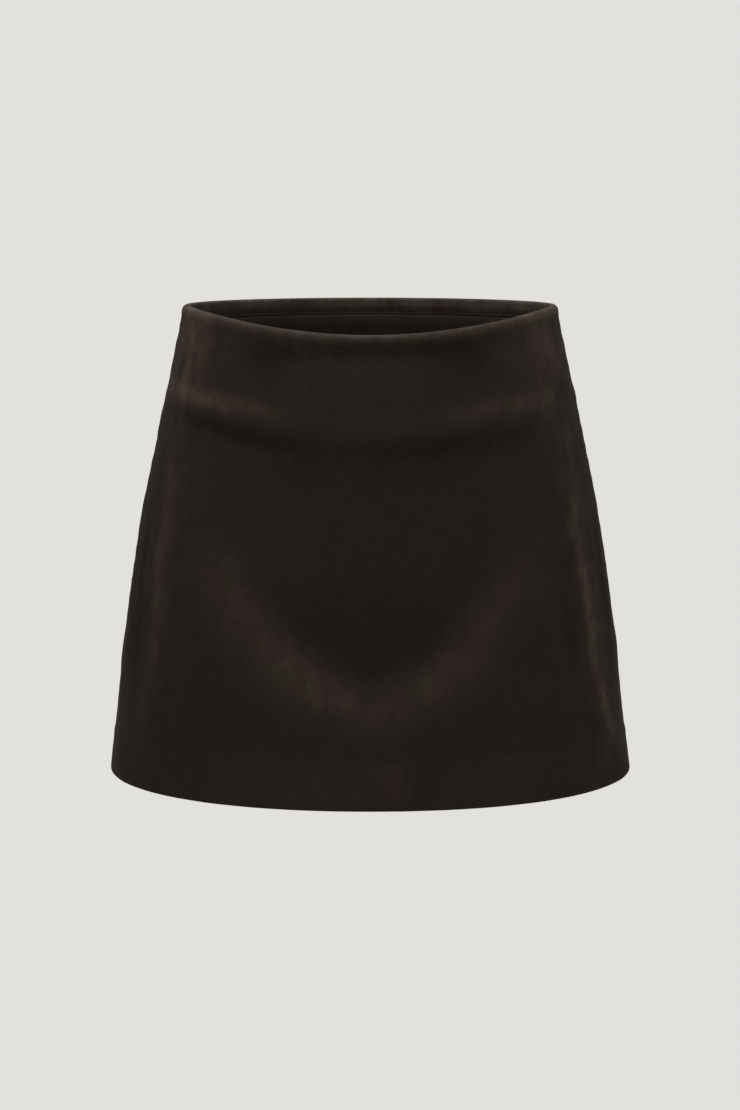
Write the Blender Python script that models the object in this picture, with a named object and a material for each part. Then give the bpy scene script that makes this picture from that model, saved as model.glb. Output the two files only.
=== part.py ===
"""Suede skort, hollow and filled out as when worn, at its real size.

A short A-line skirt of suede, front and back panel, over plain inner shorts of smooth knit. The waist edge is
turned in over a casing that holds the elastic, and the hem is turned up inside.

Metres, +Z up. The origin is the centre of the waist opening, level with its rim at the sides. The front faces -Y,
and +X is the wearer's left. Depth is measured down from the origin, and below is measured down from the waist edge.
"""

import math
from collections import namedtuple

import bmesh
import bpy
import numpy as np

FRONT, BACK = -1, 1
LEFT, RIGHT = 1, -1

# The skirt
LENGTH = 0.352  # from the waist edge to the hem at the side seams, as a plain height
FRONT_DIP = 0.016  # how much lower the waist edge lies at the centre front
DIP_SHAPE = 2.6  # the dip follows the sine's power, so that it is flat towards the side seams
SEAM_GAP = 0.0003  # between two pieces that are sewn together
SUEDE = 0.0014  # one layer
HEM_ALLOWANCE = 0.030
HEM_SUEDE = 0.0026  # the two layers where the hem is turned up
ROLL = 0.0052  # the turned waist edge is this thick
ROLL_HEIGHT = 0.0055

# The casing inside the waist
BAND_TOP = ROLL_HEIGHT + SEAM_GAP
BAND_BOTTOM = 0.0130
BAND_OUTER = 0.0034  # insets of its two faces from the outer face of the skirt
BAND_INNER = 0.0052

# The inner shorts
KNIT = 0.0010
CENTRE_GAP = 0.0004  # between the two legs along the rise
SHORTS_TOP = 0.0062
RISE_SPLIT = 0.130  # how far below the waist edge the rise leaves the front and turns under
CROTCH = 0.208
SHORTS_LENGTH = 0.304
CROTCH_ROUND = 2.6  # how square the rise's curve is
LEG_AXIS = 0.083  # the leg's middle, from the centre plane
LEG_APART = 0.007  # the leg opening's inner side, from the centre plane

# Faceting
QUARTER_COLUMNS = 14  # from a side seam to the centre
INSEAM_COLUMNS = 12
LEG_ROWS = 6

# Outer face of the skirt, one row for each height. side is half the width, front and back are the half depths,
# and squareness is the exponent of the section's superellipse.
Section = namedtuple("Section", "depth side front back squareness")
SKIRT_SECTIONS = (
    Section(0.000, 0.1392, 0.090, 0.092, 2.00),
    Section(0.020, 0.1433, 0.095, 0.097, 2.00),
    Section(0.060, 0.1520, 0.104, 0.109, 2.01),
    Section(0.110, 0.1631, 0.113, 0.122, 2.03),
    Section(0.160, 0.1731, 0.120, 0.130, 2.05),
    Section(0.220, 0.1825, 0.128, 0.135, 2.08),
    Section(0.285, 0.1906, 0.138, 0.139, 2.10),
    Section(LENGTH, 0.1984, 0.148, 0.143, 2.12),
)

# The wall of a skirt panel from its waist edge to its hem. outer and inner are the insets of its two faces.
Wall = namedtuple("Wall", "below outer inner")
WAIST_ROLL = (
    Wall(0.0000, 0.0016, 0.0036),
    Wall(0.0006, 0.0007, 0.0045),
    Wall(0.0016, 0.0002, 0.0050),
    Wall(0.0030, 0.0000, ROLL),
    Wall(0.0046, 0.0000, ROLL),
    Wall(ROLL_HEIGHT - 0.0003, 0.0000, ROLL - 0.0003),
    Wall(ROLL_HEIGHT, 0.0000, SUEDE),
)
PLAIN_DEPTHS = (0.022, 0.048, 0.074, 0.102, 0.134, 0.168, 0.200, 0.227, 0.252, 0.276, 0.299)
TURNED_HEM = (
    Wall(LENGTH - HEM_ALLOWANCE - 0.0006, 0.0, SUEDE),
    Wall(LENGTH - HEM_ALLOWANCE, 0.0, HEM_SUEDE),
    Wall(LENGTH - 0.0014, 0.0000, HEM_SUEDE),
    Wall(LENGTH - 0.0005, 0.0003, HEM_SUEDE - 0.0003),
    Wall(LENGTH, 0.0010, HEM_SUEDE - 0.0010),
)
BAND_WALL = (
    Wall(BAND_TOP, BAND_OUTER + 0.0004, BAND_INNER - 0.0004),
    Wall(BAND_TOP + 0.0004, BAND_OUTER, BAND_INNER),
    Wall(BAND_BOTTOM - 0.0006, BAND_OUTER, BAND_INNER),
    Wall(BAND_BOTTOM, BAND_OUTER + 0.0003, BAND_INNER - 0.0003),
)

# How far the shorts lie inside the outer face of the skirt: close under the casing, and freer below the hips.
Ease = namedtuple("Ease", "depth side front back")
SHORTS_EASE = (
    Ease(0.000, 0.0019, 0.0019, 0.0019),
    Ease(0.034, 0.0019, 0.0019, 0.0019),
    Ease(0.052, 0.0030, 0.0045, 0.0035),
    Ease(0.080, 0.0060, 0.0100, 0.0065),
    Ease(0.130, 0.0110, 0.0190, 0.0120),
    Ease(CROTCH, 0.0210, 0.0330, 0.0260),
    Ease(SHORTS_LENGTH, 0.0330, 0.0500, 0.0470),
)

# The largest soft folds of the skirt. Each follows a line that lies at depth on the centre of its panel and rises by
# bow where across, the place between the centre (0) and a side seam (1), reaches reach. It fades out past reach.
# width is how far the fold spreads above and below its line, and height is how far it stands out.
Fold = namedtuple("Fold", "half depth bow reach width height")
FOLDS = (
    Fold(FRONT, 0.080, 0.026, 0.80, 0.024, 0.0016),
    Fold(FRONT, 0.253, 0.060, 0.50, 0.032, -0.0030),
    Fold(FRONT, 0.309, 0.075, 0.62, 0.026, 0.0022),
    Fold(BACK, 0.250, 0.035, 0.60, 0.040, -0.0024),
    Fold(BACK, 0.312, 0.045, 0.66, 0.028, 0.0016),
)

# Colours are linear.
SUEDE_BROWN = (0.016, 0.012, 0.0095, 1.0)
KNIT_BLACK = (0.010, 0.009, 0.008, 1.0)


def along(rows, depth, column):
    """The smooth curve through one column of a table, at one depth. It doesn't overshoot its rows."""
    depths = [row.depth for row in rows]
    values = [getattr(row, column) for row in rows]
    last = len(rows) - 1
    i = min(max(int(np.searchsorted(depths, depth, side="right")) - 1, 0), last - 1)
    steps = np.diff(depths)
    slopes = np.diff(values) / steps

    def tangent(k):
        if k == 0 or k == last:
            return slopes[min(k, last - 1)]
        before, after = slopes[k - 1], slopes[k]
        return 2 * before * after / (before + after) if before * after > 0 else 0.0

    t = (depth - depths[i]) / steps[i]
    start = (1 + 2 * t) * (1 - t) ** 2 * values[i] + t * (1 - t) ** 2 * steps[i] * tangent(i)
    end = t * t * (3 - 2 * t) * values[i + 1] + t * t * (t - 1) * steps[i] * tangent(i + 1)
    return start + end


def half_name(half):
    return "front" if half == FRONT else "back"


def waist_drop(half, angle):
    """How far the waist edge lies below the origin. angle is 0 at the wearer's left side seam, and 180 degrees at
    the right one."""
    return FRONT_DIP * max(math.sin(angle), 0.0) ** DIP_SHAPE if half == FRONT else 0.0


def depth_at(half, angle, below):
    """Depth of a point of a panel, below being spread so that the hem stays level."""
    return below + waist_drop(half, angle) * (1 - below / LENGTH)


def fold_height(half, angle, depth):
    """How far the soft folds stand out there."""
    across = abs(math.cos(angle))
    height = 0.0
    for fold in FOLDS:
        if fold.half == half:
            line = fold.depth - fold.bow * (across / fold.reach) ** 2
            fade = math.exp(-((across / fold.reach) ** 4))
            height += fold.height * fade * math.exp(-(((depth - line) / fold.width) ** 2))
    return height


def section_point(half, angle, depth, inset, ease=None):
    """A point of the skirt's outer face, moved in level by inset, and by the shorts' ease where that is given."""
    side = along(SKIRT_SECTIONS, depth, "side")
    reach = along(SKIRT_SECTIONS, depth, half_name(half))
    power = along(SKIRT_SECTIONS, depth, "squareness")
    out = 0.0
    if ease is None:
        out = fold_height(half, angle, depth)
    else:
        side -= along(ease, depth, "side")
        reach -= along(ease, depth, half_name(half))
    cosine = math.cos(angle)
    sine = math.sin(angle)
    x = side * math.copysign(abs(cosine) ** (2 / power), cosine)
    y = half * reach * abs(sine) ** (2 / power)
    normal = np.array(
        [
            math.copysign((abs(x) / side) ** (power - 1) / side, x),
            math.copysign((abs(y) / reach) ** (power - 1) / reach, half),
            0.0,
        ]
    )
    normal /= np.linalg.norm(normal)
    return np.array([x, y, -depth]) + (out - inset) * normal


def strip_mesh(outer, inner, outward):
    """A closed wall between two grids of points of equal size. outward is the sign that turns its faces out."""
    rows = len(outer)
    columns = len(outer[0])
    mesh = bmesh.new()
    faces_of_wall = [[[mesh.verts.new(point) for point in row] for row in grid] for grid in (outer, inner)]
    out, back = faces_of_wall
    quads = []
    for i in range(rows - 1):
        for j in range(columns - 1):
            quads.append((out[i][j], out[i + 1][j], out[i + 1][j + 1], out[i][j + 1]))
            quads.append((back[i][j], back[i][j + 1], back[i + 1][j + 1], back[i + 1][j]))
    for j in range(columns - 1):
        quads.append((out[0][j], out[0][j + 1], back[0][j + 1], back[0][j]))
        quads.append((out[-1][j + 1], out[-1][j], back[-1][j], back[-1][j + 1]))
    for i in range(rows - 1):
        quads.append((out[i + 1][0], out[i][0], back[i][0], back[i + 1][0]))
        quads.append((out[i][-1], out[i + 1][-1], back[i + 1][-1], back[i][-1]))
    for quad in quads:
        mesh.faces.new(quad if outward > 0 else quad[::-1])
    return mesh


def add_object(name, mesh, material, sharp_degrees=50):
    data = bpy.data.meshes.new(name)
    mesh.to_mesh(data)
    mesh.free()
    data.materials.append(material)
    data.shade_smooth()
    data.set_sharp_from_angle(angle=math.radians(sharp_degrees))
    piece = bpy.data.objects.new(name, data)
    bpy.context.scene.collection.objects.link(piece)
    return piece


def cloth_material(name, colour, roughness, sheen):
    material = bpy.data.materials.new(name)
    material.use_nodes = True
    shader = material.node_tree.nodes["Principled BSDF"]
    shader.inputs["Base Color"].default_value = colour
    shader.inputs["Roughness"].default_value = roughness
    shader.inputs["Metallic"].default_value = 0.0
    shader.inputs["Sheen Weight"].default_value = sheen
    material.diffuse_color = colour
    return material


def half_grid(half, wall_rows, face):
    """One face of a wall that runs round the front or the back half, moved half a seam gap from the side seams."""
    angles = np.linspace(0.0, math.pi, 2 * QUARTER_COLUMNS + 1)
    seam = np.array([0.0, half * SEAM_GAP / 2, 0.0])
    return [
        [section_point(half, a, depth_at(half, a, row.below), getattr(row, face)) + seam for a in angles]
        for row in wall_rows
    ]


def add_half_ring(name, half, wall_rows, material):
    outer = half_grid(half, wall_rows, "outer")
    inner = half_grid(half, wall_rows, "inner")
    return add_object(name, strip_mesh(outer, inner, half), material)


def panel_wall():
    plain = tuple(Wall(depth, 0.0, SUEDE) for depth in PLAIN_DEPTHS)
    return WAIST_ROLL + plain + TURNED_HEM


def leg_shift(below):
    """0 where the shorts still wrap the whole hip, and 1 where each leg is a tube of its own."""
    t = min(max((below - RISE_SPLIT) / (CROTCH + 0.02 - RISE_SPLIT), 0.0), 1.0)
    return t * t * (3 - 2 * t)


def outside_row(side, below):
    """The shorts' outer half at one height, from the centre front round the hip to the centre back."""
    row = []
    quarter = np.linspace(0.0, math.pi / 2, QUARTER_COLUMNS + 1)
    for half, angles in ((FRONT, quarter[::-1]), (BACK, quarter[1:])):
        for angle in angles:
            depth = depth_at(half, angle, below)
            point = section_point(half, angle, depth, 0.0, SHORTS_EASE)
            middle = LEG_AXIS * leg_shift(below)
            widest = abs(section_point(half, 0.0, depth, 0.0, SHORTS_EASE)[0])
            x = middle + abs(point[0]) / widest * (widest - middle)
            row.append(np.array([side * (x + CENTRE_GAP / 2), point[1], point[2]]))
    return row


def inside_row(side, start, end, share, top_start, top_end):
    """The inner side of a leg at one height, between the row of the outer half's two ends. share is 0 along the
    rise and 1 at the leg opening, and the top ends are the ends of the rise's own row."""
    row = []
    for k in range(1, INSEAM_COLUMNS):
        angle = math.pi * k / INSEAM_COLUMNS
        towards = math.sin(angle) ** (2 / CROTCH_ROUND)
        across = (1 - math.cos(angle)) / 2
        y = start[1] + (end[1] - start[1]) * across
        level = -start[2] - (end[2] - start[2]) * across
        top = -top_start[2] - (top_end[2] - top_start[2]) * across
        depth = level + (CROTCH - top) * towards * (1 - share)
        middle = abs(start[0])
        inner = CENTRE_GAP / 2 + LEG_APART * share
        row.append(np.array([side * (middle + (inner - middle) * towards), y, -depth]))
    return row


def add_shorts_leg(name, side, material):
    """One leg of the shorts: half of the hips down to the rise, and below it a tube."""
    hip_belows = np.linspace(SHORTS_TOP, 0.030, 3)[:-1].tolist() + np.linspace(0.030, RISE_SPLIT, 5)[:-1].tolist()
    leg_belows = np.linspace(RISE_SPLIT, SHORTS_LENGTH, LEG_ROWS + 1)
    mesh = bmesh.new()
    outside = [[mesh.verts.new(p) for p in outside_row(side, below)] for below in [*hip_belows, *leg_belows]]
    first_leg = len(hip_belows)
    top_ends = (outside[first_leg][0].co, outside[first_leg][-1].co)
    inside = []
    for i in range(LEG_ROWS + 1):
        ends = outside[first_leg + i]
        inner = inside_row(side, ends[0].co, ends[-1].co, i / LEG_ROWS, *top_ends)
        inside.append([ends[0], *[mesh.verts.new(p) for p in inner], ends[-1]])
    for grid, outward in ((outside, side), (inside, -side)):
        for upper, lower in zip(grid, grid[1:]):
            for j in range(len(upper) - 1):
                quad = (upper[j], lower[j], lower[j + 1], upper[j + 1])
                mesh.faces.new(quad if outward > 0 else quad[::-1])
    leg = add_object(name, mesh, material)
    wall = leg.modifiers.new("cloth", "SOLIDIFY")
    wall.thickness = KNIT
    wall.offset = -1.0
    wall.use_even_offset = True
    return leg


def main():
    for old in list(bpy.data.objects):
        bpy.data.objects.remove(old)
    suede = cloth_material("suede", SUEDE_BROWN, 0.85, 0.4)
    knit = cloth_material("knit", KNIT_BLACK, 0.75, 0.1)
    for half in (FRONT, BACK):
        add_half_ring(f"skirt_{half_name(half)}", half, panel_wall(), suede)
        add_half_ring(f"waist_band_{half_name(half)}", half, BAND_WALL, suede)
    add_shorts_leg("shorts_left", LEFT, knit)
    add_shorts_leg("shorts_right", RIGHT, knit)


main()
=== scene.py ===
"""Suede skort: its cloth, seams, stitches and materials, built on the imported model.

Metres, +Z up. The origin is the centre of the waist opening, level with its rim at the sides. The front
faces -Y, and +X is the wearer's left. Depth is measured down from the origin, and below is measured down
from the waist edge. A place on the skirt is a turn in degrees and a depth. Turn is 0 at the wearer's left
side seam, 90 at the centre front, 180 at the right side seam and -90 at the centre back.
"""

import math
from collections import namedtuple

import bpy
import numpy as np
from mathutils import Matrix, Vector, noise

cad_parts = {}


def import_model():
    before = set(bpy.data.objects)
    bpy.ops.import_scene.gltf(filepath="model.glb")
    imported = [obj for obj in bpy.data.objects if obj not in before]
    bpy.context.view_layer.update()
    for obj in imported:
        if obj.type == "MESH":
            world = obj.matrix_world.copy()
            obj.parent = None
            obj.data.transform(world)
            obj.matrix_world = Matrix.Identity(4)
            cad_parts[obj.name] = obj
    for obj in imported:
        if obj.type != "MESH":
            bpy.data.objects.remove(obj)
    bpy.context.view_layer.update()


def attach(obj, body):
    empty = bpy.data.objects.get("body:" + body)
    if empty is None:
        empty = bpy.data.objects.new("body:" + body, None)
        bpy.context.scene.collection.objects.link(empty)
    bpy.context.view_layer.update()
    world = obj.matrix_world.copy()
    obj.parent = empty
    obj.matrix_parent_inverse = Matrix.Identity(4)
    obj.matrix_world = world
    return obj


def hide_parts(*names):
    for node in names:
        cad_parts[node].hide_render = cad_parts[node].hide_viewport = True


FRONT, BACK = -1, 1
LEFT, RIGHT = 1, -1

# The skirt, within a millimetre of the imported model
LENGTH = 0.352
FRONT_DIP = 0.0167  # how far the front's waist edge dips at its middle
DIP_SHAPE = 2.4
SUEDE = 0.0014  # thickness
HEM_ALLOWANCE = 0.030
HEM_SUEDE = 0.0026  # thickness of the turned-up hem
ROLL = 0.0052  # thickness of the rolled waist edge
ROLL_HEIGHT = 0.0055
EDGE_FULLNESS = 0.92  # 1 would make a cut or rolled edge a full half circle
BAND_TOP = 0.0056
BAND_BOTTOM = 0.0130
BAND_OUTER = 0.0034  # how far inside the skirt's outer face each face of the casing lies
BAND_INNER = 0.0052
BAND_EDGE = 0.0002  # radius of its edges
BAND_STITCHES = 0.0116  # how far below the waist edge its stitches run

# The inner shorts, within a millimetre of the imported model
KNIT = 0.0010  # thickness
SHORTS_TOP = 0.0062
RISE_SPLIT = 0.130  # how far below the waist edge the rise leaves the front and the back
CROTCH = 0.208
LEGS_APART_FROM = CROTCH + 0.02  # from here down each leg hangs round its own axis
SHORTS_LENGTH = 0.304
CROTCH_ROUND = 2.6
LEG_AXIS = 0.083
LEG_APART = 0.007  # half of the space between the legs at their openings
LEG_HEM = 0.020
FLUSH = 0.0021  # how far the knit comes in below the casing, to lie level with it
INSEAM_PLACE = 0.3  # sets the flat places of a leg's inner side apart from the outer ones

# How finely the cloth is built
PANEL_COLUMNS = 176
PANEL_ROW = 0.0021
CASING_ROW = 0.0015  # closer rows over the casing
ROLL_ROWS = (0.0, 0.00015, 0.0004, 0.0008, 0.0013, 0.0019, 0.0026, 0.0034, 0.0043, 0.00535)
HEM_ROWS = (0.0022, 0.0013, 0.0009, 0.0005, 0.0002, 0.0)  # measured up from the hem
BAND_COLUMNS = 260
BAND_EDGE_ROWS = (0.0, 0.0001, 0.0002, 0.0004)
BAND_ROWS = 13
LEG_QUARTER_COLUMNS = 56
LEG_INNER_COLUMNS = 60
LEG_ROW = 0.0028
SEAM_TURNS = (0.0, 0.20, 0.40, 0.65, 1.0, 1.5, 2.2, 3.0)  # closer columns beside a side seam
SHARP_ANGLE = math.radians(60)  # edges bent more than this stay crisp

# Stitches
STITCH = 0.0021
STITCH_PITCH = 0.0029
STITCH_RADIUS = 0.00022
STITCH_SIDES = 6
STITCH_SUNK = 0.0002  # how far the casing's stitches lie in its cloth
# Rings of one stitch: place along it, size, and lift from the cloth, as shares of its length and radius
STITCH_RINGS = (
    (-0.5, 0.25, -0.9),
    (-0.36, 0.9, 0.1),
    (0.0, 1.0, 0.45),
    (0.36, 0.9, 0.1),
    (0.5, 0.25, -0.9),
)

# Soft lines along an edge or a seam. Each stands out by its height (or in, where that is below 0) at a
# distance from the edge or seam, and fades out over its width.
Swell = namedtuple("Swell", "height distance width")
PLUMP_EDGE = Swell(0.0006, 0.0045, 0.0055)
UNDER_CASING = Swell(-0.0002, 0.0190, 0.0095)
UNDER_CASING_MIDDLE = Swell(-0.0009, 0.0190, 0.0095)  # added at the middle of each half
CASING_MIDDLE = 0.62  # how far the middle reaches to the sides, as a share of the half width
SEAM_GROOVE = Swell(-0.0011, 0.0, 0.0013)
SEAM_VALLEY = Swell(-0.0004, 0.0, 0.0060)
SEAM_PUCKERS = Swell(0.00022, 0.0, 0.010)
PUCKER_WAVE = 430.0  # radians a metre
PUCKER_DRIFT = 61.0
HEM_RIDGE = Swell(0.00030, 0.0, 0.0035)
HEM_STEP = 0.00022
GATHERS = Swell(0.00016, 0.0092, 0.0034)
GATHER_WAVE = 820.0
STITCH_LINE = Swell(-0.00020, BAND_STITCHES, 0.0006)
LEG_SIDE = -0.0013  # how far the knit keeps in from the side seams
RISE_SEAM = Swell(-0.00025, 0.0, 0.003)
LEG_HEM_STEP = 0.0003
INSEAM = Swell(0.0007, 0.12, 0.05)  # distance and width in radians from the middle of the inner side

# Slow unevenness of a cloth
Uneven = namedtuple("Uneven", "height size seed")
SUEDE_UNEVEN = (Uneven(0.00035, 0.045, 1), Uneven(0.00012, 0.016, 2))
KNIT_UNEVEN = 0.0003
KNIT_UNEVEN_SIZE = 0.030
KNIT_UNEVEN_SEED = 4
NOISE_RANGE = 1.6  # takes the noise to about -1 to 1
NOISE_SHIFT = (7.3, 3.1, 5.7)  # from one seed to the next

# Lighter and darker lines along an edge or seam, in the same way: painted highlights on the rolled waist
# edge and the turned-in edge, a lighter line at the hem's fold, and painted shade along the casing's
# stitches
EDGE_HIGHLIGHT = Swell(0.23, 0.0014, 0.0046)
EDGE_MIDDLE = 0.30  # how far the middle reaches to the sides, as a share of the half width
EDGE_LIGHTER = 0.11  # how much lighter and narrower the waist edge's line is at the middle
EDGE_NARROWER = 0.0018
TURNED_HIGHLIGHT = (Swell(0.58, 0.0030, 0.0040), Swell(0.17, 0.0100, 0.0045))
TURNED_PATCHES = 0.30
TURNED_PATCH_SIZE = 0.050
HEM_LIGHTER = Swell(0.06, 0.0, 0.0015)
STITCH_GROOVE_SHADE = Swell(-0.02, BAND_STITCHES, 0.0008)
WORN_FROM = 0.62  # share of the half width from which the nap is mottled, and over which it grows so
WORN_OVER = 0.30

Section = namedtuple("Section", "depth side front back squareness")
SKIRT_SECTIONS = (
    Section(0.000, 0.1392, 0.090, 0.092, 2.00),
    Section(0.020, 0.1433, 0.095, 0.097, 2.00),
    Section(0.060, 0.1520, 0.104, 0.109, 2.01),
    Section(0.110, 0.1631, 0.113, 0.122, 2.03),
    Section(0.160, 0.1731, 0.120, 0.130, 2.05),
    Section(0.220, 0.1825, 0.128, 0.135, 2.08),
    Section(0.285, 0.1906, 0.138, 0.139, 2.10),
    Section(LENGTH, 0.1984, 0.148, 0.143, 2.12),
)

Ease = namedtuple("Ease", "depth side front back")
SHORTS_EASE = (
    Ease(0.000, 0.0019, 0.0019, 0.0019),
    Ease(0.034, 0.0019, 0.0019, 0.0019),
    Ease(0.052, 0.0030, 0.0045, 0.0035),
    Ease(0.080, 0.0060, 0.0100, 0.0065),
    Ease(0.130, 0.0110, 0.0190, 0.0120),
    Ease(CROTCH, 0.0210, 0.0330, 0.0260),
    Ease(SHORTS_LENGTH, 0.0330, 0.0500, 0.0470),
)

# The largest soft folds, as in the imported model
Fold = namedtuple("Fold", "half depth bow reach width height")
FOLDS = (
    Fold(FRONT, 0.080, 0.026, 0.80, 0.024, 0.0016),
    Fold(FRONT, 0.253, 0.060, 0.50, 0.032, -0.0030),
    Fold(FRONT, 0.309, 0.075, 0.62, 0.026, 0.0022),
    Fold(BACK, 0.250, 0.035, 0.60, 0.040, -0.0024),
    Fold(BACK, 0.312, 0.045, 0.66, 0.028, 0.0016),
)

# Creases of the skirt, each along a path of (turn, depth). width is how far it spreads to each side of its
# path, height how far it stands out, and the last field how much lighter (or darker) it is painted there:
# painted highlight where a slope faces the light, painted shade in a hollow.
Crease = namedtuple("Crease", "path width height nap")
CREASES = (
    # Front: the soft ridge under the high hip, which ends in a crisper hollow, with a painted highlight
    # above it and painted shade in the hollow
    Crease(
        ((174, 0.062), (162, 0.065), (146, 0.069), (131, 0.074), (112, 0.082), (96, 0.088)),
        width=0.0135, height=0.0015, nap=0.0,
    ),
    Crease(((182, 0.055), (160, 0.060), (141, 0.065), (124, 0.069), (106, 0.075)), 0.007, 0.0, 0.25),
    Crease(((104, 0.086), (88, 0.088), (70, 0.085), (50, 0.078), (28, 0.073)), 0.011, 0.0013, 0.0),
    Crease(
        ((80, 0.077), (66, 0.073), (55, 0.068), (45, 0.067), (34, 0.064), (22, 0.061)),
        width=0.008, height=0.0, nap=0.12,
    ),
    Crease(
        ((140, 0.025), (124, 0.031), (108, 0.030), (90, 0.0285), (74, 0.027), (58, 0.029), (46, 0.026)),
        width=0.008, height=-0.0003, nap=-0.07,
    ),
    Crease(
        ((172, 0.072), (149, 0.079), (137, 0.084), (126, 0.089), (112, 0.096), (98, 0.101)),
        width=0.007, height=-0.0007, nap=-0.11,
    ),
    Crease(
        ((118, 0.094), (98, 0.100), (80, 0.099), (62, 0.096), (44, 0.090), (32, 0.087)),
        width=0.009, height=-0.0004, nap=-0.06,
    ),
    # Front: the soft V that hangs from both hips, with painted shade above and a painted highlight below
    Crease(
        ((128, 0.176), (115, 0.208), (102, 0.238), (90, 0.254), (79, 0.240), (65, 0.206)),
        width=0.015, height=-0.0007, nap=-0.04,
    ),
    Crease(((122, 0.236), (106, 0.268), (90, 0.296), (76, 0.274), (60, 0.236)), 0.014, 0.0007, 0.0),
    Crease(((142, 0.146), (125, 0.194), (115, 0.224), (103, 0.256), (90, 0.281)), 0.017, 0.0, 0.14),
    Crease(((40, 0.140), (54, 0.186), (65, 0.223), (76, 0.257), (90, 0.280)), 0.017, 0.0, 0.11),
    Crease(
        ((122, 0.224), (104, 0.258), (96, 0.273), (90, 0.280), (84, 0.273), (76, 0.261), (60, 0.228)),
        width=0.013, height=0.0, nap=0.10,
    ),
    # Front: upright soft folds towards the sides
    Crease(((172, 0.120), (168, 0.180), (163, 0.250), (158, 0.300)), 0.010, -0.0009, -0.05),
    Crease(((163, 0.130), (161, 0.190), (160, 0.235), (157, 0.290)), 0.008, -0.0005, -0.15),
    Crease(
        ((152, 0.080), (150, 0.150), (149, 0.205), (148, 0.248), (150, 0.290), (152, 0.345)),
        width=0.008, height=0.0005, nap=0.14,
    ),
    Crease(((170, 0.272), (167, 0.306), (161, 0.344)), 0.006, 0.0006, 0.08),
    Crease(
        ((26, 0.086), (29, 0.150), (29, 0.190), (29, 0.235), (27, 0.275), (23, 0.310), (17, 0.346)),
        width=0.006, height=0.0010, nap=0.25,
    ),
    Crease(((36, 0.150), (38, 0.215), (36, 0.290)), 0.010, -0.0006, -0.03),
    Crease(((17, 0.120), (16, 0.190), (17, 0.245), (16, 0.300)), 0.009, -0.0006, -0.15),
    Crease(((87, 0.316), (86, 0.334), (88, 0.352)), 0.008, 0.0005, 0.05),
    # Back
    Crease(((-178, 0.064), (-152, 0.068), (-124, 0.077), (-98, 0.087)), 0.011, 0.0012, 0.04),
    Crease(((-112, 0.090), (-84, 0.086), (-58, 0.076), (-24, 0.069)), 0.012, 0.0011, 0.05),
    Crease(((-168, 0.086), (-130, 0.096), (-92, 0.104), (-52, 0.094), (-26, 0.086)), 0.010, -0.0006, -0.06),
    Crease(((-136, 0.160), (-122, 0.206), (-108, 0.244), (-93, 0.266)), 0.015, 0.0004, 0.12),
    Crease(((-46, 0.158), (-58, 0.200), (-72, 0.240), (-90, 0.266)), 0.015, 0.0004, 0.13),
    Crease(((-124, 0.234), (-106, 0.268), (-90, 0.286), (-74, 0.270), (-58, 0.238)), 0.015, 0.0008, 0.03),
    Crease(((-120, 0.184), (-102, 0.220), (-88, 0.234), (-70, 0.212)), 0.016, -0.0008, -0.06),
    Crease(((-164, 0.130), (-160, 0.200), (-152, 0.290)), 0.011, 0.0008, 0.06),
    Crease(((-148, 0.170), (-143, 0.240), (-138, 0.310)), 0.010, -0.0007, -0.05),
    Crease(((-22, 0.120), (-26, 0.200), (-24, 0.290)), 0.010, 0.0009, 0.07),
    Crease(((-38, 0.190), (-36, 0.260), (-40, 0.320)), 0.011, -0.0007, -0.05),
    Crease(((-104, 0.316), (-106, 0.334), (-103, 0.352)), 0.008, 0.0005, 0.04),
    # Over the side seams
    Crease(((26, 0.056), (2, 0.066), (-22, 0.058)), 0.009, 0.0008, 0.03),
    Crease(((204, 0.092), (182, 0.104), (160, 0.098)), 0.010, -0.0007, -0.04),
    Crease(((20, 0.236), (0, 0.258), (-20, 0.246)), 0.014, 0.0008, 0.03),
    Crease(((200, 0.244), (180, 0.262), (164, 0.254)), 0.013, 0.0007, 0.03),
)

# Broad places painted lighter or darker: painted highlights where the cloth faces the light, painted shade
# under the waist edge and in hollows, and brushed nap
PaintedPatch = namedtuple("PaintedPatch", "turn depth across tall amount")
PAINTED_LIGHT_AND_NAP_PATCHES = (
    PaintedPatch(158, 0.026, 0.036, 0.034, 0.29),
    PaintedPatch(28, 0.028, 0.034, 0.036, 0.20),
    PaintedPatch(121, 0.034, 0.024, 0.017, -0.08),
    PaintedPatch(62, 0.033, 0.028, 0.018, -0.08),
    PaintedPatch(151, 0.140, 0.020, 0.060, 0.07),
    PaintedPatch(172, 0.300, 0.016, 0.050, 0.06),
    PaintedPatch(27, 0.130, 0.020, 0.050, 0.09),
    PaintedPatch(24, 0.230, 0.020, 0.070, 0.12),
    PaintedPatch(8, 0.290, 0.014, 0.050, 0.07),
    PaintedPatch(90, 0.112, 0.075, 0.020, -0.04),
    PaintedPatch(90, 0.228, 0.044, 0.030, -0.04),
    PaintedPatch(132, 0.300, 0.050, 0.034, -0.04),
    PaintedPatch(90, 0.336, 0.120, 0.026, 0.05),
    PaintedPatch(-30, 0.030, 0.042, 0.034, 0.14),
    PaintedPatch(-150, 0.032, 0.038, 0.036, 0.13),
    PaintedPatch(-62, 0.034, 0.026, 0.018, -0.10),
    PaintedPatch(-120, 0.033, 0.024, 0.017, -0.09),
    PaintedPatch(-90, 0.112, 0.075, 0.022, -0.04),
    PaintedPatch(-90, 0.210, 0.055, 0.034, -0.04),
    PaintedPatch(-26, 0.150, 0.018, 0.060, 0.09),
    PaintedPatch(-20, 0.270, 0.014, 0.060, 0.10),
    PaintedPatch(-156, 0.150, 0.018, 0.060, 0.09),
    PaintedPatch(-150, 0.260, 0.014, 0.060, 0.11),
)

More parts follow.
